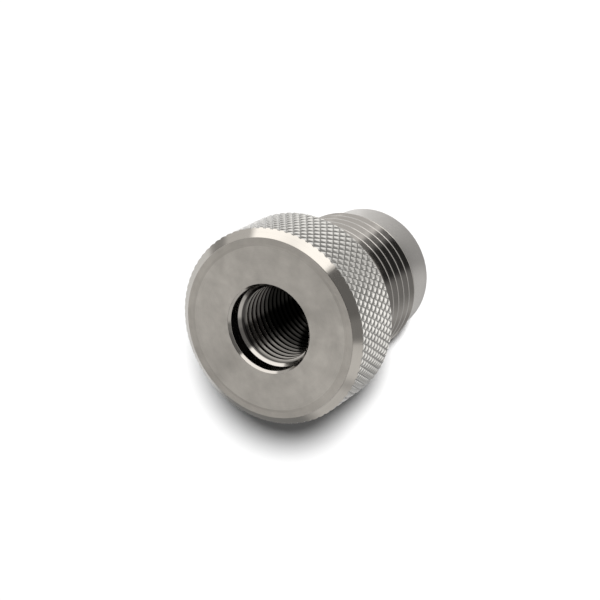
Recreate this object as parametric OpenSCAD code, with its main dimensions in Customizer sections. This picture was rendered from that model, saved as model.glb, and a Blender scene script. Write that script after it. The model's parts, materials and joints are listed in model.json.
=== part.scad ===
// Turned adapter: a knurled head with a female thread, a male thread under it and a plain nose.
// It stands on the nose, with Z as the turning axis and the open face of the head on top.
// Both threads are plain cylinders here: the outside one at its crests, the inside one at its bore.

/* [Head] */
// Diameter of the head over the tips of the knurl
head_d = 24; // [21:0.5:30]
// Length of the head, from its shoulder to its open face
head_len = 8.5; // [6:0.5:14]
// Width of the front chamfer, across the axis
edge_chamfer_w = 1; // [0.5:0.1:1.5]
// Height of the front chamfer, along the axis
edge_chamfer_h = 0.85; // [0.5:0.05:1.5]
// Width of the band that runs round the rim of the face
face_band_w = 1; // [0.5:0.1:1.5]
// How far that band falls towards the chamfer
face_band_fall = 0.05; // [0.02:0.01:0.1]
// Chamfer on the back edge of the head
back_chamfer = 0.2; // [0.1:0.05:0.4]

/* [Knurl] */
// Diamonds in one row round the head
knurl_count = 80; // [60:2:100]
// Angle of the grooves to the axis
knurl_angle = 30; // [25:1:40]
// Depth of the grooves under the head's turned surface
knurl_depth = 0.12; // [0.06:0.02:0.4]
// Share of each diamond's width that keeps that surface
knurl_flat = 0.45; // [0.2:0.05:0.6]

/* [Female thread] */
// Diameter of the recess in the face
recess_d = 10.4; // [10.2:0.1:12]
// Depth of the recess, from the face to the start of its cone
recess_depth = 1.9; // [1:0.1:3]
// Width of the chamfer at the mouth of the recess, across the axis
mouth_chamfer_w = 0.3; // [0.1:0.1:0.6]
// Height of the chamfer at the mouth of the recess, along the axis
mouth_chamfer_h = 0.5; // [0.1:0.1:0.8]
// Diameter of the tapped hole at the crests of its thread
tap_d = 9.15; // [8.4:0.05:9.8]
// Length of the tapped hole, from its cone down
tap_len = 14; // [8:0.5:18]

/* [Male thread] */
// Diameter of the male thread over its crests
male_d = 18; // [17.5:0.5:20]
// Length from the shoulder of the head to the foot of the thread
male_len = 13.8; // [10:0.1:20]
// Diameter of the relief groove beside the shoulder
relief_d = 15.7; // [14:0.1:16.5]
// Width of the relief groove at its bottom
relief_w = 2.4; // [1.5:0.1:3.5]
// Slope of the groove's side towards the thread, from the axis
relief_slope = 30; // [30:5:60]

/* [Nose] */
// Diameter of the plain nose
nose_d = 16.3; // [14:0.1:16.5]
// Length of the nose below the foot of the thread
nose_len = 4.7; // [3:0.1:10]
// Chamfer on the end of the nose
nose_chamfer = 0.3; // [0.1:0.1:0.8]
// Diameter of the passage through the nose
passage_d = 8; // [5:0.5:8]
// Chamfer where the passage leaves the nose
passage_chamfer = 0.5; // [0.2:0.1:1]

/* [Hidden] */
$fn = 160;

// Heights of the turned steps above the end of the nose
foot_z = nose_len;
shoulder_z = nose_len + male_len;
face_z = shoulder_z + head_len;
rim_z = face_z - face_band_fall;
knurl_top_z = rim_z - edge_chamfer_h;

// Radii of the same steps
head_r = head_d / 2;
rim_r = head_r - edge_chamfer_w;
band_r = rim_r - face_band_w;
male_r = male_d / 2;
nose_r = nose_d / 2;
relief_r = relief_d / 2;
recess_r = recess_d / 2;
tap_r = tap_d / 2;
passage_r = passage_d / 2;

// The lead at the foot of the male thread stands at 45 degrees, and so does the cone into the tapped hole
foot_lead = male_r - nose_r;
relief_run = (male_r - relief_r) / tan(relief_slope);
cone_top_z = face_z - recess_depth;
tap_top_z = cone_top_z - (recess_r - tap_r);
tap_end_z = tap_top_z - tap_len;

// The tapped hole ends in the cone of its drill
drill_half_angle = 59;
drill_tip = (tap_r - passage_r) / tan(drill_half_angle);

// Every knurl row stands half a diamond on from the last, and the rows run past both ends of the head
knurl_columns = 2 * knurl_count;
knurl_row_h = PI * head_d / (knurl_columns * tan(knurl_angle));
knurl_rows = 2 * ceil((head_len / 2 + knurl_row_h) / knurl_row_h);
knurl_low_z = shoulder_z + (head_len - knurl_rows * knurl_row_h) / 2;
root_r = head_r - knurl_depth;
tip_r = root_r + knurl_depth / (1 - knurl_flat);

// How far a cut runs past the surface that it opens
past = 1;

// Radius on the knurl's grid: a groove crossing where row plus column is even, and a tip where it is odd.
// The tips stand past the turned surface, which keeps a small flat diamond at each of them.
function knurl_r(row, column) = (row + column) % 2 == 1 ? tip_r : root_r;

// One ring of points round the axis, with a radius for each column
function ring(radii, z) = [
    for (i = [0:len(radii) - 1]) let (a = 360 * i / len(radii)) [radii[i] * cos(a), radii[i] * sin(a), z]
];

// Half section of the outside, as it leaves the lathe
module outside_profile() {
    polygon([
        [0, 0],
        [nose_r - nose_chamfer, 0],
        [nose_r, nose_chamfer],
        [nose_r, foot_z],
        [male_r, foot_z + foot_lead],
        [male_r, shoulder_z - relief_w - relief_run],
        [relief_r, shoulder_z - relief_w],
        [relief_r, shoulder_z],
        [head_r - back_chamfer, shoulder_z],
        [head_r, shoulder_z + back_chamfer],
        [head_r, knurl_top_z],
        [rim_r, rim_z],
        [band_r, face_z],
        [0, face_z]
    ]);
}

// Half section of the recess, the tapped hole and the passage
module inside_profile() {
    polygon([
        [0, -past],
        [passage_r + passage_chamfer + past, -past],
        [passage_r, passage_chamfer],
        [passage_r, tap_end_z - drill_tip],
        [tap_r, tap_end_z],
        [tap_r, tap_top_z],
        [recess_r, cone_top_z],
        [recess_r, face_z - mouth_chamfer_h],
        [recess_r + mouth_chamfer_w * (1 + past / mouth_chamfer_h), face_z + past],
        [0, face_z + past]
    ]);
}

// The metal that the knurling wheels push aside: a sleeve whose inner wall is the diamond pattern
module knurl_sleeve() {
    n = knurl_columns;
    top_row = knurl_rows;
    sleeve_r = head_r + 2 * past;
    top_z = knurl_low_z + top_row * knurl_row_h;
    walls = [
        for (row = [0:top_row])
            each ring([for (i = [0:n - 1]) knurl_r(row, i)], knurl_low_z + row * knurl_row_h)
    ];
    outer_low = len(walls);
    outer_top = outer_low + n;
    outer = concat(
        ring([for (i = [0:n - 1]) sleeve_r], knurl_low_z),
        ring([for (i = [0:n - 1]) sleeve_r], top_z)
    );
    // Each four-point cell is split along its groove, so the ridges rise to the tips
    diamonds = [
        for (row = [0:top_row - 1], i = [0:n - 1])
            let (
                a = row * n + i,
                b = row * n + (i + 1) % n,
                c = b + n,
                d = a + n
            )
            each (row + i) % 2 == 0 ? [[a, b, c], [a, c, d]] : [[a, b, d], [b, c, d]]
    ];
    low_ring = [
        for (i = [0:n - 1]) let (k = (i + 1) % n) [i, outer_low + i, outer_low + k, k]
    ];
    top_ring = [
        for (i = [0:n - 1])
            let (k = (i + 1) % n)
            [top_row * n + k, outer_top + k, outer_top + i, top_row * n + i]
    ];
    outer_wall = [
        for (i = [0:n - 1])
            let (k = (i + 1) % n)
            [outer_low + k, outer_low + i, outer_top + i, outer_top + k]
    ];
    polyhedron(points = concat(walls, outer), faces = concat(diamonds, low_ring, top_ring, outer_wall));
}

// The whole adapter, turned from one bar
module adapter_body() {
    color("silver")
        difference() {
            rotate_extrude() outside_profile();
            rotate_extrude() inside_profile();
            knurl_sleeve();
        }
}

adapter_body();
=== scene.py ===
import json
import math

import bmesh
import bpy
from mathutils import Euler, Matrix, Vector


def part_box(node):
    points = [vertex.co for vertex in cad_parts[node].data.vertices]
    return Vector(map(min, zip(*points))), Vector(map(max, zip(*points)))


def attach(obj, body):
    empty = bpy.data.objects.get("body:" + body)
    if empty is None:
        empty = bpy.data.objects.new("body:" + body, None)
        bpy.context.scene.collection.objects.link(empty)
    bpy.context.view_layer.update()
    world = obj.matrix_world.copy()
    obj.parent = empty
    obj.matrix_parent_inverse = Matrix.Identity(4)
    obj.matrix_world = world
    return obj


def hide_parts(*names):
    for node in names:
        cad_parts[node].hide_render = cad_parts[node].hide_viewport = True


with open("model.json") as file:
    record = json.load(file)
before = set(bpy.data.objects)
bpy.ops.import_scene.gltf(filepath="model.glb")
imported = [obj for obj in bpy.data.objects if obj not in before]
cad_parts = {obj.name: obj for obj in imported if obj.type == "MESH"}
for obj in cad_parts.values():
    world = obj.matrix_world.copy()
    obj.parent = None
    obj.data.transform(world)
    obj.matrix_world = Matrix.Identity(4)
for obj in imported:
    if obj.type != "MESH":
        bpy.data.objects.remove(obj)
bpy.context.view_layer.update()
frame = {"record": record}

MM = 0.001
AXIS = Vector((0, 0, 1))
CENTRE = Vector((0, 0, 0))

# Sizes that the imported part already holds, in metres
mounts = {m["name"]: m for m in frame["record"]["mounts"]}


def mount_radius(name):
    return mounts[name]["dims"]["r_mm"] * MM


def mount_ends(name):
    """The lowest and highest point of a round mount's wall, along the turning axis."""
    half = mounts[name]["dims"]["length_mm"] * MM / 2
    middle = mounts[name]["pos_m"][2]
    return middle - half, middle + half


_, top_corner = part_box("adapter_body")
HEAD_R = top_corner.x
FACE_Z = top_corner.z
SHOULDER_Z = mounts["shoulder"]["pos_m"][2]
NOSE_R = mount_radius("nose")
MALE_R = mount_radius("male_thread")
TAP_R = mount_radius("female_thread")
RECESS_R = mount_radius("recess")
PASSAGE_R = mount_radius("passage")
NOSE_CHAMFER, FOOT_Z = mount_ends("nose")
LEAD_TOP_Z, THREAD_TOP_Z = mount_ends("male_thread")
PASSAGE_CHAMFER, PASSAGE_TOP_Z = mount_ends("passage")
TAP_END_Z, TAP_TOP_Z = mount_ends("female_thread")
RECESS_LOW_Z, _ = mount_ends("recess")

# The other turned steps, as the part's source has them
EDGE_CHAMFER_W = 1 * MM
EDGE_CHAMFER_H = 0.85 * MM
FACE_BAND_W = 1 * MM
FACE_BAND_FALL = 0.05 * MM
BACK_CHAMFER = 0.2 * MM
RELIEF_R = 7.85 * MM
RELIEF_W = 2.4 * MM

# The slope between the band and the face, and the chamfer at the mouth of the recess
FACE_STEP_W = 0.3 * MM
MOUTH_CHAMFER = 0.3 * MM

# Breaks on the turned edges: a small one that leaves a corner crisp, and a larger one that softens it
CRISP_EDGE = 0.03 * MM
SOFT_EDGE = 0.08 * MM

# Diamond knurl: teeth in a row, slope of the grooves to the axis, and the depth of the grooves.
# Each tooth swells in three steps, from steep sides to a nearly flat crown: width of a step, and its rise.
KNURL_COUNT = 80
KNURL_ANGLE = math.radians(30)
KNURL_STEPS = ((0.08 * MM, 0.065 * MM), (0.08 * MM, 0.037 * MM), (0.09 * MM, 0.018 * MM))
KNURL_DEPTH = sum(rise for _, rise in KNURL_STEPS)

# Threads: pitch, depth under the crest, width of the crest, and the height of one crest over +X, from
# which the helix runs. Then, for both, the angle of the flanks and the break on the crests.
MALE_PITCH = 1.5 * MM
MALE_DEPTH = 0.84 * MM
MALE_CREST_W = MALE_PITCH / 8
MALE_CREST_Z = 12.36 * MM
FEMALE_PITCH = 1 * MM
FEMALE_DEPTH = 0.46 * MM
FEMALE_CREST_W = FEMALE_PITCH / 3
FEMALE_CREST_Z = 23.63 * MM
FLANK = math.radians(30)
CREST_BREAK = 0.03 * MM

# Facets round the axis, how far a cutter runs past the metal, and how near doubled corners are merged
TURNED_STEPS = 240
THREAD_STEPS = 120
PAST = 1 * MM
MERGE = 0.0001 * MM
# Cutters start this share of a facet round, so that none of their edges meets an edge of the turned body
CUTTER_START = 0.44
BETWEEN_FACETS = Matrix.Rotation(CUTTER_START * math.tau / TURNED_STEPS, 3, "Z")
# Edges bent by more than this stay sharp, on turned and cut metal and on the rolled teeth
SHARP = math.radians(5)
ROLLED_SHARP = math.radians(28)

# Tool lines repeat along the radius plus this share of the height, so that faces and walls both show them
MARKS_HEIGHT_SHARE = 0.83
CLOUD_SIZE = 2 * MM


def node(tree, kind, values=(), **settings):
    """A shader node with its settings, and with its inputs set or linked by name or number."""
    made = tree.nodes.new(kind)
    for key, value in settings.items():
        setattr(made, key, value)
    for key, value in dict(values).items():
        if isinstance(value, bpy.types.NodeSocket):
            tree.links.new(value, made.inputs[key])
        else:
            made.inputs[key].default_value = value
    return made


def maths(tree, operation, *values):
    return node(tree, "ShaderNodeMath", dict(enumerate(values)), operation=operation).outputs[0]


def mix_colour(tree, amount, first, second, blend="MIX"):
    made = node(tree, "ShaderNodeMix", {0: amount, 6: first, 7: second}, data_type="RGBA", blend_type=blend)
    return made.outputs[2]


def spread(tree, value, from_low, from_high, to_low, to_high, smooth=False):
    """A value moved from one range to another, clamped."""
    made = node(
        tree, "ShaderNodeMapRange",
        {"Value": value, "From Min": from_low, "From Max": from_high, "To Min": to_low, "To Max": to_high},
        interpolation_type="SMOOTHSTEP" if smooth else "LINEAR",
    )
    return made.outputs["Result"]


def grey(level, warmth=0.0):
    return (level * (1 + warmth), level, level * (1 - warmth), 1)


def from_axis(tree, place):
    """The distance of a point from the turning axis."""
    flat = node(tree, "ShaderNodeVectorMath", {0: place, 1: (1, 1, 0)}, operation="MULTIPLY").outputs[0]
    return node(tree, "ShaderNodeVectorMath", {0: flat}, operation="LENGTH").outputs["Value"]


def above_nose(tree, place):
    """The height of a point above the end of the nose."""
    return node(tree, "ShaderNodeSeparateXYZ", {0: place}).outputs["Z"]


def new_group(name, inputs, outputs):
    """A node group with its sockets, what it is given and the place on the piece. Metal is a colour."""
    group = bpy.data.node_groups.new(name, "ShaderNodeTree")
    for side, sockets in (("INPUT", inputs), ("OUTPUT", outputs)):
        for socket in sockets:
            kind = "NodeSocketColor" if socket == "Metal" else "NodeSocketFloat"
            group.interface.new_socket(socket, in_out=side, socket_type=kind)
    given = node(group, "NodeGroupInput").outputs
    place = node(group, "ShaderNodeTexCoord").outputs["Object"]
    return group, given, place


def turning_marks():
    """Fine tool lines round the axis on every turned surface, with slow changes along them."""
    group, given, place = new_group(
        "turning_marks",
        ("Metal", "Roughness", "Line Width", "Line Contrast", "Cloud Contrast"),
        ("Metal", "Roughness", "Height"),
    )
    height = maths(group, "MULTIPLY", above_nose(group, place), MARKS_HEIGHT_SHARE)
    along = maths(group, "ADD", from_axis(group, place), height)
    lines_at = maths(group, "DIVIDE", along, maths(group, "MULTIPLY", given["Line Width"], MM))
    lines = node(
        group, "ShaderNodeTexNoise",
        {"W": lines_at, "Scale": 1, "Detail": 3, "Roughness": 0.65},
        noise_dimensions="1D",
    ).outputs["Fac"]
    clouds = node(
        group, "ShaderNodeTexNoise",
        {"Vector": place, "Scale": 1 / CLOUD_SIZE, "Detail": 4, "Roughness": 0.6},
        noise_dimensions="3D",
    ).outputs["Fac"]
    line_shift = maths(group, "MULTIPLY", maths(group, "SUBTRACT", lines, 0.5), given["Line Contrast"])
    cloud_shift = maths(group, "MULTIPLY", maths(group, "SUBTRACT", clouds, 0.5), given["Cloud Contrast"])
    shade = maths(group, "ADD", 1, maths(group, "ADD", line_shift, cloud_shift))
    shade_colour = node(group, "ShaderNodeCombineColor", {0: shade, 1: shade, 2: shade}).outputs[0]
    colour = mix_colour(group, 1, given["Metal"], shade_colour, blend="MULTIPLY")
    rough = maths(group, "MULTIPLY", given["Roughness"], maths(group, "SUBTRACT", 2, shade))
    node(group, "NodeGroupOutput", {"Metal": colour, "Roughness": rough, "Height": lines})
    return group


def painted_shade(name, measure):
    """Painted shade: darkens the metal, keeping all its colour where the shade ends and the share Kept of it
    where the shade is full.
    """
    group, given, place = new_group(name, ("Metal", "Stained At", "Clean At", "Kept"), ("Metal",))
    kept = spread(group, measure(group, place), given["Stained At"], given["Clean At"], given["Kept"], 1)
    node(group, "NodeGroupOutput", {"Metal": mix_colour(group, kept, grey(0), given["Metal"])})
    return group


def metal(name, marks, colour, roughness, anisotropy, lines, cloud_contrast, painted_shades):
    """Bare stainless steel with turning marks, whose highlights spread across the tool lines."""
    material = bpy.data.materials.new(name)
    material.use_nodes = True
    tree = material.node_tree
    line_width, line_contrast, line_depth = lines
    marked = node(
        tree, "ShaderNodeGroup",
        {
            "Metal": (*colour, 1), "Roughness": roughness, "Line Width": line_width,
            "Line Contrast": line_contrast, "Cloud Contrast": cloud_contrast,
        },
        node_tree=marks,
    ).outputs
    base = marked["Metal"]
    # Painted shade, laid on one group after another: darker colour in grooves, down the bore and low on the
    # cone
    for group, full_shade_at, no_shade_at, kept in painted_shades:
        base = node(
            tree, "ShaderNodeGroup",
            {"Metal": base, "Stained At": full_shade_at, "Clean At": no_shade_at, "Kept": kept},
            node_tree=group,
        ).outputs["Metal"]
    depth = line_depth * MM
    bump = node(tree, "ShaderNodeBump", {"Height": marked["Height"], "Strength": 1, "Distance": depth})
    round_axis = node(tree, "ShaderNodeTangent", direction_type="RADIAL", axis="Z")
    shader = tree.nodes["Principled BSDF"]
    tree.links.new(base, shader.inputs["Base Color"])
    tree.links.new(marked["Roughness"], shader.inputs["Roughness"])
    tree.links.new(bump.outputs["Normal"], shader.inputs["Normal"])
    tree.links.new(round_axis.outputs["Tangent"], shader.inputs["Tangent"])
    shader.inputs["Metallic"].default_value = 1
    shader.inputs["Anisotropic"].default_value = anisotropy
    # A quarter of a turn sets the spread of the highlights across the tool lines
    shader.inputs["Anisotropic Rotation"].default_value = 0.25
    return material


def make_finishes():
    """Every finish of the adapter by name, in the order of its material slots."""
    marks = turning_marks()
    height_shade = painted_shade("stained_by_height", above_nose)
    radius_shade = painted_shade("stained_by_radius", from_axis)
    # The colours are lit and shaded copies of one steel: the lighter ones on the threads, shank, knurl and
    # tapped thread are painted highlight, and the darker ones on the face's band, the mouth, the cone and
    # the bore are painted shade
    steel = (0.58, 0.556, 0.516)
    bright = (0.635, 0.61, 0.578)
    # Tool lines: width in mm, contrast, and depth in mm
    satin_lines = (0.07, 0.2, 0.002)
    shank_lines = (0.07, 0.12, 0.001)
    fine_lines = (0.05, 0.1, 0.0004)
    bored_lines = (0.06, 0.1, 0.0006)
    rolled_lines = (0.1, 0.1, 0.0003)
    # Painted shade, in the knurl's grooves, down the bore, low on the cone and in the tapped thread's
    # grooves:
    # its group, the places where it is full and where it ends, and the share of the colour that stays. The
    # one on the cone leaves the narrow bright ring that the photograph shows.
    shade_in_knurl = (radius_shade, HEAD_R - KNURL_DEPTH, HEAD_R, 0.5)
    shade_down_bore = (height_shade, FACE_Z - 9 * MM, FACE_Z - 2.5 * MM, 0.08)
    shade_on_cone = (height_shade, FACE_Z - 2.26 * MM, FACE_Z - 2.18 * MM, 0.15)
    shade_in_thread = (radius_shade, TAP_R + 0.8 * FEMALE_DEPTH, TAP_R, 0.15)
    made = {}
    # Name, colour, roughness, anisotropy, tool lines, contrast of the clouds, and painted shades
    for name, *looks in (
        ("turned_face", steel, 0.42, 0.85, satin_lines, 0.45, ()),
        ("face_band", (0.51, 0.487, 0.45), 0.4, 0.8, satin_lines, 0.35, ()),
        ("bright_chamfer", steel, 0.1, 0.2, fine_lines, 0.1, ()),
        ("rolled_knurl", (0.9, 0.875, 0.825), 0.12, 0, rolled_lines, 0.2, (shade_in_knurl,)),
        ("cut_thread", bright, 0.1, 0, fine_lines, 0.1, ()),
        ("turned_shank", bright, 0.28, 0.5, shank_lines, 0.1, ()),
        ("mouth_chamfer", (0.48, 0.46, 0.43), 0.1, 0.2, fine_lines, 0.1, ()),
        # Nearly black: painted shade on the recess wall
        ("recess_wall", (0.14, 0.137, 0.13), 0.2, 0, bored_lines, 0.1, ()),
        ("lead_cone", (0.5, 0.482, 0.455), 0.12, 0, bored_lines, 0.1, (shade_on_cone,)),
        ("bored_wall", (0.53, 0.51, 0.48), 0.12, 0, bored_lines, 0.1, (shade_down_bore,)),
        ("tapped_thread", (0.83, 0.8, 0.75), 0.1, 0, bored_lines, 0.1, (shade_down_bore, shade_in_thread)),
    ):
        made[name] = metal(name, marks, *looks)
    return made


finishes = make_finishes()


def slot_of(finish):
    return list(finishes).index(finish)


def new_piece(name, bm, finish):
    """An object at the origin from a finished bmesh, with one finish all over."""
    for face in bm.faces:
        face.material_index = slot_of(finish)
    mesh = bpy.data.meshes.new(name)
    for material in finishes.values():
        mesh.materials.append(material)
    bm.to_mesh(mesh)
    bm.free()
    piece = bpy.data.objects.new(name, mesh)
    bpy.context.scene.collection.objects.link(piece)
    return piece


def set_radius(verts, radius):
    for v in verts:
        v.co.xy = v.co.xy.normalized() * radius


def verts_of(geom):
    return [g for g in geom if isinstance(g, bmesh.types.BMVert)]


def edges_of(geom):
    return [g for g in geom if isinstance(g, bmesh.types.BMEdge)]


def adapter_outline():
    """Corners of half the adapter's section and their breaks, with the head left larger than its knurl."""
    rim_r = HEAD_R - EDGE_CHAMFER_W
    rim_z = FACE_Z - FACE_BAND_FALL
    stock_r = HEAD_R + PAST
    stock_drop = EDGE_CHAMFER_H * (1 + PAST / EDGE_CHAMFER_W)
    return [
        (PASSAGE_R + PASSAGE_CHAMFER, 0, SOFT_EDGE),
        (NOSE_R - NOSE_CHAMFER, 0, SOFT_EDGE),
        (NOSE_R, NOSE_CHAMFER, SOFT_EDGE),
        (NOSE_R, FOOT_Z, 0),
        (MALE_R, LEAD_TOP_Z, CRISP_EDGE),
        (MALE_R, THREAD_TOP_Z, CRISP_EDGE),
        (RELIEF_R, SHOULDER_Z - RELIEF_W, SOFT_EDGE),
        (RELIEF_R, SHOULDER_Z, SOFT_EDGE),
        (HEAD_R - BACK_CHAMFER, SHOULDER_Z, 0),
        (stock_r, SHOULDER_Z + BACK_CHAMFER + PAST, 0),
        (stock_r, rim_z - stock_drop, 0),
        (rim_r, rim_z, CRISP_EDGE),
        (rim_r - FACE_BAND_W + FACE_STEP_W, rim_z, 0),
        (rim_r - FACE_BAND_W, FACE_Z, 0),
        (RECESS_R + MOUTH_CHAMFER, FACE_Z, CRISP_EDGE),
        (RECESS_R, FACE_Z - MOUTH_CHAMFER, CRISP_EDGE),
        (RECESS_R, RECESS_LOW_Z, 0),
        (TAP_R, TAP_TOP_Z, 0),
        (TAP_R, TAP_END_Z, 0),
        (PASSAGE_R, PASSAGE_TOP_Z, 0),
        (PASSAGE_R, PASSAGE_CHAMFER, SOFT_EDGE),
    ]


def bore_finish(z):
    """The finish at a height inside the bore, from the mouth of the recess down."""
    if z > FACE_Z - MOUTH_CHAMFER:
        return "mouth_chamfer"
    if z > RECESS_LOW_Z:
        return "recess_wall"
    return "lead_cone" if z > TAP_TOP_Z else "bored_wall"


def head_finish(r):
    """The finish at a radius on the front of the head."""
    rim_r = HEAD_R - EDGE_CHAMFER_W
    if r > rim_r:
        return "bright_chamfer"
    return "face_band" if r > rim_r - FACE_BAND_W else "turned_face"


def turned_finish(middle):
    """The finish of a turned surface, from the middle of one of its faces."""
    r = middle.xy.length
    if r < RECESS_R + MOUTH_CHAMFER and middle.z > PASSAGE_CHAMFER:
        return bore_finish(middle.z)
    if middle.z > SHOULDER_Z + BACK_CHAMFER + 2 * PAST:
        return head_finish(r)
    return "cut_thread" if FOOT_Z < middle.z < SHOULDER_Z - RELIEF_W else "turned_shank"


def turned_body():
    """The adapter as it leaves the lathe, before its knurl and threads: the section spun once round."""
    outline = adapter_outline()
    bm = bmesh.new()
    corners = [bm.verts.new((r, 0, z)) for r, z, _ in outline]
    bm.faces.new(corners)
    for corner, (_, _, size) in zip(corners, outline):
        if size > 0:
            bmesh.ops.bevel(
                bm, geom=[corner], affect="VERTICES", offset=size, segments=2, profile=0.5, material=-1
            )
    bmesh.ops.delete(bm, geom=bm.faces[:], context="FACES_ONLY")
    bmesh.ops.spin(
        bm, geom=bm.verts[:] + bm.edges[:], cent=CENTRE, axis=AXIS,
        angle=math.tau, steps=TURNED_STEPS, use_merge=True,
    )
    bmesh.ops.recalc_face_normals(bm, faces=bm.faces[:])
    piece = new_piece("turned_adapter", bm, "turned_face")
    for face in piece.data.polygons:
        face.material_index = slot_of(turned_finish(face.center))
    return piece


def knurl_sleeve():
    """What the knurling wheels push aside: a sleeve whose inner wall is the diamond pattern."""
    root_r = HEAD_R - KNURL_DEPTH
    row_h = math.tau * HEAD_R / (KNURL_COUNT * math.tan(KNURL_ANGLE))
    rows = 2 * math.ceil((FACE_Z - SHOULDER_Z) / 2 / row_h) + 2
    bm = bmesh.new()
    first = bm.verts.new((root_r, 0, (SHOULDER_Z + FACE_Z - rows * row_h) / 2))
    bmesh.ops.spin(bm, geom=[first], cent=CENTRE, axis=AXIS, dvec=AXIS * row_h, angle=0, steps=rows)
    bmesh.ops.spin(
        bm, geom=bm.verts[:] + bm.edges[:], cent=CENTRE, axis=AXIS,
        angle=math.tau, steps=KNURL_COUNT, use_merge=True,
    )
    # Poking the cells and dissolving their old sides turns the grid by half a diamond
    sides = [e for e in bm.edges if not e.is_boundary]
    middles = bmesh.ops.poke(bm, faces=bm.faces[:])["verts"]
    set_radius(middles, root_r)
    bmesh.ops.dissolve_edges(bm, edges=sides, use_verts=False)
    rims = [e for e in bm.edges if e.is_boundary]
    bm.normal_update()
    inward = [f for f in bm.faces if f.normal.dot(f.calc_center_median()) < 0]
    bmesh.ops.reverse_faces(bm, faces=inward)
    teeth = [f for f in bm.faces if len(f.verts) == 4]
    for width, rise in KNURL_STEPS:
        bmesh.ops.inset_individual(bm, faces=teeth, thickness=width, depth=rise, use_even_offset=True)
    # Both rims go outwards and are joined, so that the sleeve is closed
    outer = bmesh.ops.extrude_edge_only(bm, edges=rims)["geom"]
    set_radius(verts_of(outer), HEAD_R + 2 * PAST)
    bmesh.ops.bridge_loops(bm, edges=edges_of(outer))
    bmesh.ops.rotate(bm, verts=bm.verts[:], cent=CENTRE, matrix=BETWEEN_FACETS)
    bmesh.ops.recalc_face_normals(bm, faces=bm.faces[:])
    return new_piece("knurl_sleeve", bm, "rolled_knurl")


def groove_outline(crest_r, depth, pitch, crest_w, outward):
    """Corners of a thread groove's section: flanks at 60 degrees to each other, with broken crests."""
    side = 1 if outward else -1
    mouth = (pitch - crest_w) / 2
    root = mouth - depth * math.tan(FLANK)
    crest_side = mouth - CREST_BREAK * math.tan(FLANK)
    above = mouth + CREST_BREAK
    half = [
        (crest_r - side * depth, root),
        (crest_r - side * CREST_BREAK, crest_side),
        (crest_r, above),
        (crest_r + side * CREST_BREAK, above),
    ]
    return half + [(r, -z) for r, z in reversed(half)]


def thread_groove(name, finish, outline, pitch, crest_z, z_range):
    """The metal that a thread's groove takes away: one turn of its section, repeated along the axis."""
    low_z, high_z = z_range
    turns = math.ceil((high_z - low_z) / pitch)
    middle = crest_z + pitch / 2 + math.floor((low_z - crest_z) / pitch) * pitch
    bm = bmesh.new()
    bm.faces.new([bm.verts.new((r, 0, middle + z)) for r, z in outline])
    bmesh.ops.delete(bm, geom=bm.faces[:], context="FACES_ONLY")
    bmesh.ops.rotate(bm, verts=bm.verts[:], cent=CENTRE, matrix=BETWEEN_FACETS)
    bmesh.ops.spin(
        bm, geom=bm.verts[:] + bm.edges[:], cent=CENTRE, axis=AXIS,
        dvec=AXIS * (pitch / THREAD_STEPS), angle=math.tau, steps=THREAD_STEPS,
    )
    one_turn = bm.verts[:] + bm.edges[:] + bm.faces[:]
    for turn in range(1, turns):
        copy = bmesh.ops.duplicate(bm, geom=one_turn)["geom"]
        bmesh.ops.translate(bm, verts=verts_of(copy), vec=AXIS * (pitch * turn))
    bmesh.ops.remove_doubles(bm, verts=bm.verts[:], dist=MERGE)
    bmesh.ops.holes_fill(bm, edges=[e for e in bm.edges if e.is_boundary], sides=0)
    bmesh.ops.recalc_face_normals(bm, faces=bm.faces[:])
    return new_piece(name, bm, finish)


def male_groove():
    """The outside thread's groove, from the lead at its foot into the relief groove."""
    return thread_groove(
        "male_groove", "cut_thread",
        groove_outline(MALE_R, MALE_DEPTH, MALE_PITCH, MALE_CREST_W, outward=True),
        MALE_PITCH, MALE_CREST_Z, (FOOT_Z - MALE_PITCH / 2, THREAD_TOP_Z + MALE_PITCH),
    )


def female_groove():
    """The inside thread's groove, from one turn above the end of the hole out through the cone."""
    return thread_groove(
        "female_groove", "tapped_thread",
        groove_outline(TAP_R, FEMALE_DEPTH, FEMALE_PITCH, FEMALE_CREST_W, outward=False),
        FEMALE_PITCH, FEMALE_CREST_Z, (TAP_END_Z + FEMALE_PITCH, TAP_TOP_Z + 1.5 * FEMALE_PITCH),
    )


def cut(piece, cutters):
    """Cuts each cutter from the piece, for good, and removes the cutters."""
    for cutter in cutters:
        step = piece.modifiers.new("cut " + cutter.name, "BOOLEAN")
        step.operation = "DIFFERENCE"
        step.solver = "EXACT"
        step.object = cutter
    graph = bpy.context.evaluated_depsgraph_get()
    mesh = bpy.data.meshes.new_from_object(piece.evaluated_get(graph))
    piece.modifiers.clear()
    piece.data = mesh
    for cutter in cutters:
        bpy.data.objects.remove(cutter)


def shade_by_angle(piece):
    """Round surfaces shade smoothly, and every turned or cut edge stays sharp."""
    bm = bmesh.new()
    bm.from_mesh(piece.data)
    for face in bm.faces:
        face.smooth = True
    rolled = slot_of("rolled_knurl")
    for edge in bm.edges:
        limit = ROLLED_SHARP if all(f.material_index == rolled for f in edge.link_faces) else SHARP
        edge.smooth = edge.calc_face_angle(math.pi) < limit
    bm.to_mesh(piece.data)
    bm.free()


def make_adapter():
    body = turned_body()
    cut(body, [male_groove(), female_groove(), knurl_sleeve()])
    shade_by_angle(body)
    return body


# Camera: its place and turn were fitted to the photograph's turned edges
CAMERA_PLACE = Vector((0, -117.19, 196.98)) * MM
CAMERA_TURN = [math.radians(a) for a in (-18.0405, 28.3762, -124.9595)]
CAMERA_LENS = 106.13


def make_camera():
    camera = bpy.data.objects.new("camera", bpy.data.cameras.new("camera"))
    camera.location = CAMERA_PLACE
    camera.rotation_euler = CAMERA_TURN
    camera.data.lens = CAMERA_LENS
    camera.data.clip_start = 10 * MM
    bpy.context.scene.collection.objects.link(camera)
    bpy.context.scene.camera = camera


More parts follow.
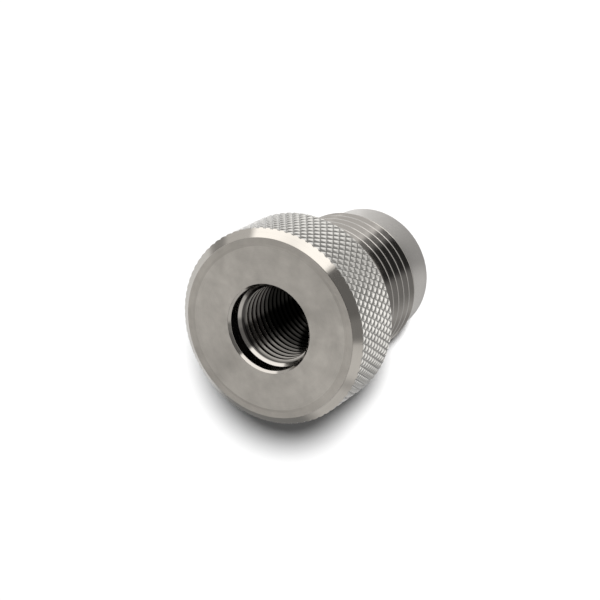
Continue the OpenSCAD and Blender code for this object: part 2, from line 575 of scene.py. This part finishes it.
def seen(right, up, back):
    """A direction in the part's frame, from how far it goes right, up and back as the camera sees it."""
    return (Euler(CAMERA_TURN).to_matrix() @ Vector((right, up, back))).normalized()


# Walls of the studio as the metal mirrors them, and the plain light on everything else
WALL_LEVEL = 0.68
WALL_WARMTH = 0.02
PLAIN_LEVEL = 0.1

# Round patches of the walls, each laid over the ones before: direction as the camera sees it (right, up,
# back), reach and soft edge in degrees, and brightness
WALL_PATCHES = (
    # On the left and below
    ((-0.8, -0.46, 0.38), 35, 20, 0.65),
    ((-0.86, 0, 0.48), 20, 12, 0.48),
    ((-0.6, -0.8, 0.05), 22, 10, 0.42),
    ((-0.34, -0.66, -0.67), 28, 10, 0.25),
    ((-0.45, -0.62, 0.64), 23, 8, 1),
    ((-0.88, 0.4, -0.26), 6, 4, 0.35),
    ((0, -0.82, 0.57), 24, 6, 0.27),
    ((0.36, -0.78, 0.5), 14, 6, 0.75),
    # The dim room behind the camera
    ((0.05, -0.1, 1), 34, 6, 0.18),
    # The soft box above the adapter, and its dimmer left end
    ((-0.16, 0.84, 0.5), 40, 3, 1.7),
    ((-0.58, 0.36, 0.72), 19, 5, 0.6),
    # Lighter spots below the camera, then the dark camera and a dark place on its left
    ((0, -0.54, 0.84), 8, 4, 0.21),
    ((0.44, -0.42, 0.79), 9, 4, 0.26),
    ((-0.08, -0.12, 0.99), 15, 4, 0.025),
    ((-0.37, -0.15, 0.92), 13, 5, 0.03),
)


def patch(tree, direction, toward, reach, blur):
    """A round patch of the studio: 1 within its reach of a direction, 0 past it, and soft between."""
    closeness = node(tree, "ShaderNodeVectorMath", {0: direction, 1: toward}, operation="DOT_PRODUCT")
    inner = math.cos(math.radians(reach - blur))
    outer = math.cos(math.radians(reach + blur))
    return spread(tree, closeness.outputs["Value"], outer, inner, 0, 1, smooth=True)


def mix_shaders(tree, amount, first, second):
    return node(tree, "ShaderNodeMixShader", {0: amount, 1: first, 2: second}).outputs[0]


def studio():
    """Walls that only the metal mirrors, plain light for the rest, and white where the camera looks past."""
    world = bpy.data.worlds.new("studio")
    world.use_nodes = True
    bpy.context.scene.world = world
    tree = world.node_tree
    tree.nodes.clear()
    direction = node(tree, "ShaderNodeTexCoord").outputs["Generated"]
    walls = grey(WALL_LEVEL, WALL_WARMTH)
    for toward, reach, blur, level in WALL_PATCHES:
        amount = patch(tree, direction, seen(*toward), reach, blur)
        walls = mix_colour(tree, amount, walls, grey(level, WALL_WARMTH))
    room = node(tree, "ShaderNodeBackground", {"Color": walls, "Strength": 1}).outputs[0]
    white = node(tree, "ShaderNodeBackground", {"Color": grey(1), "Strength": 1}).outputs[0]
    plain = node(tree, "ShaderNodeBackground", {"Color": grey(PLAIN_LEVEL), "Strength": 1}).outputs[0]
    path = node(tree, "ShaderNodeLightPath").outputs
    lit = mix_shaders(tree, path["Is Glossy Ray"], plain, room)
    node(tree, "ShaderNodeOutputWorld", {"Surface": mix_shaders(tree, path["Is Camera Ray"], lit, white)})


# The shadow lamp: strength, width in degrees, and the way to it as the camera sees it (right, up, back)
LAMP_STRENGTH = 4.9
LAMP_WIDTH = 8.5
LAMP_TOWARD = (0.004, 0.165, 0.986)


def lay_shadow():
    """A soft lamp high behind the camera, which the metal doesn't mirror."""
    data = bpy.data.lights.new("shadow_lamp", "SUN")
    data.energy = LAMP_STRENGTH
    data.angle = math.radians(LAMP_WIDTH)
    lamp = bpy.data.objects.new("shadow_lamp", data)
    lamp.rotation_euler = seen(*LAMP_TOWARD).to_track_quat("Z", "Y").to_euler()
    lamp.visible_glossy = False
    bpy.context.scene.collection.objects.link(lamp)


# The white sheet: its own colour, half its width, and a radius in mm that lies past its corners
SHEET_LEVEL = 0.8
SHEET_HALF = 1000 * MM
PAST_SHEET = 2000

# How bright the sheet shows in the metal, a painted reflection that only the metal sees. Near the adapter
# and past FAR mm this runs from the first level to the second, towards a side given as azimuth, reach and
# soft edge in degrees. In the RING it has one level, and from the nose's rim in to a share of its radius it
# falls to nothing, a painted shadow under the nose.
NEAR_SIDE = (30, 75, 60)
NEAR_LEVELS = (0.42, 0.95)
FAR_SIDE = (50, 90, 90)
FAR_LEVELS = (0.5, 0.85)
FAR = 30
RING = (19, 30)
RING_LEVEL = 0.6
RING_EDGE = 1
DARK_SHARE = 0.9

# Painted brighter and darker zones of the sheet in the metal, each laid over the ones before: azimuth, reach
# and soft edge in degrees, inner and outer radius in mm, and brightness
SHEET_ZONES = (
    (-112, 25, 15, 11, 18.5, 0.25),
    (-142, 24, 12, 8, 12, 0.66),
    (0, 26, 8, 7, 12, 1),
    (172, 14, 6, 19, 30, 0.3),
    (-75, 85, 15, 32, 50, 0.3),
    (-163, 10, 6, 19, 30, 0.85),
    (-128, 20, 8, 19, 30, 1),
    (-33, 22, 8, 19, 30, 0.92),
    (40, 25, 8, 19, 30, 1),
    (-80, 24, 8, 30, PAST_SHEET, 0.3),
    (114, 28, 10, 65, PAST_SHEET, 0.25),
)


def sector(tree, away, azimuth, reach, blur):
    """A sector of the sheet round the adapter: 1 within its reach of an azimuth, 0 past it, soft between."""
    aim = Matrix.Rotation(math.radians(azimuth), 3, "Z") @ Vector((1, 0, 0))
    return patch(tree, away, aim, reach, blur)


def ring(tree, reach, inner, outer):
    """A ring of the sheet round the adapter: 1 between two radii in mm, else 0, with soft edges."""
    rise = spread(tree, reach, (inner - RING_EDGE) * MM, (inner + RING_EDGE) * MM, 0, 1, smooth=True)
    fall = spread(tree, reach, (outer - RING_EDGE) * MM, (outer + RING_EDGE) * MM, 1, 0, smooth=True)
    return maths(tree, "MULTIPLY", rise, fall)


def sheet_glow(tree):
    """How bright the sheet shows in the metal at each place: a painted reflection, from a painted shadow
    under the nose outwards.
    """
    place = node(tree, "ShaderNodeTexCoord").outputs["Object"]
    reach = node(tree, "ShaderNodeVectorMath", {0: place}, operation="LENGTH").outputs["Value"]
    away = node(tree, "ShaderNodeVectorMath", {0: place}, operation="NORMALIZE").outputs[0]
    glow = spread(tree, sector(tree, away, *NEAR_SIDE), 0, 1, *NEAR_LEVELS)
    far_glow = spread(tree, sector(tree, away, *FAR_SIDE), 0, 1, *FAR_LEVELS)
    glow = spread(tree, ring(tree, reach, FAR, PAST_SHEET), 0, 1, glow, far_glow)
    glow = spread(tree, ring(tree, reach, *RING), 0, 1, glow, RING_LEVEL)
    for azimuth, width, blur, inner, outer, level in SHEET_ZONES:
        around = sector(tree, away, azimuth, width, blur)
        zone = maths(tree, "MULTIPLY", around, ring(tree, reach, inner, outer))
        glow = spread(tree, zone, 0, 1, glow, level)
    return maths(tree, "MULTIPLY", glow, spread(tree, reach, NOSE_R * DARK_SHARE, NOSE_R, 0, 1))


def make_floor():
    """A white sheet under the adapter, which keeps its shadow and shows bright in the metal."""
    bm = bmesh.new()
    bmesh.ops.create_grid(bm, x_segments=1, y_segments=1, size=SHEET_HALF)
    mesh = bpy.data.meshes.new("floor")
    bm.to_mesh(mesh)
    bm.free()
    floor = bpy.data.objects.new("floor", mesh)
    bpy.context.scene.collection.objects.link(floor)
    material = bpy.data.materials.new("white_sheet")
    material.use_nodes = True
    tree = material.node_tree
    tree.nodes.clear()
    paper = node(tree, "ShaderNodeBsdfDiffuse", {"Color": grey(SHEET_LEVEL)}).outputs[0]
    mirrored = node(tree, "ShaderNodeEmission", {"Color": grey(1), "Strength": sheet_glow(tree)}).outputs[0]
    path = node(tree, "ShaderNodeLightPath").outputs
    shown = mix_shaders(tree, path["Is Glossy Ray"], paper, mirrored)
    node(tree, "ShaderNodeOutputMaterial", {"Surface": shown})
    mesh.materials.append(material)


make_camera()
adapter = make_adapter()
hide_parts("adapter_body")
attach(adapter, "root")

make_floor()
studio()
lay_shadow()
bpy.context.scene.view_settings.view_transform = "Standard"
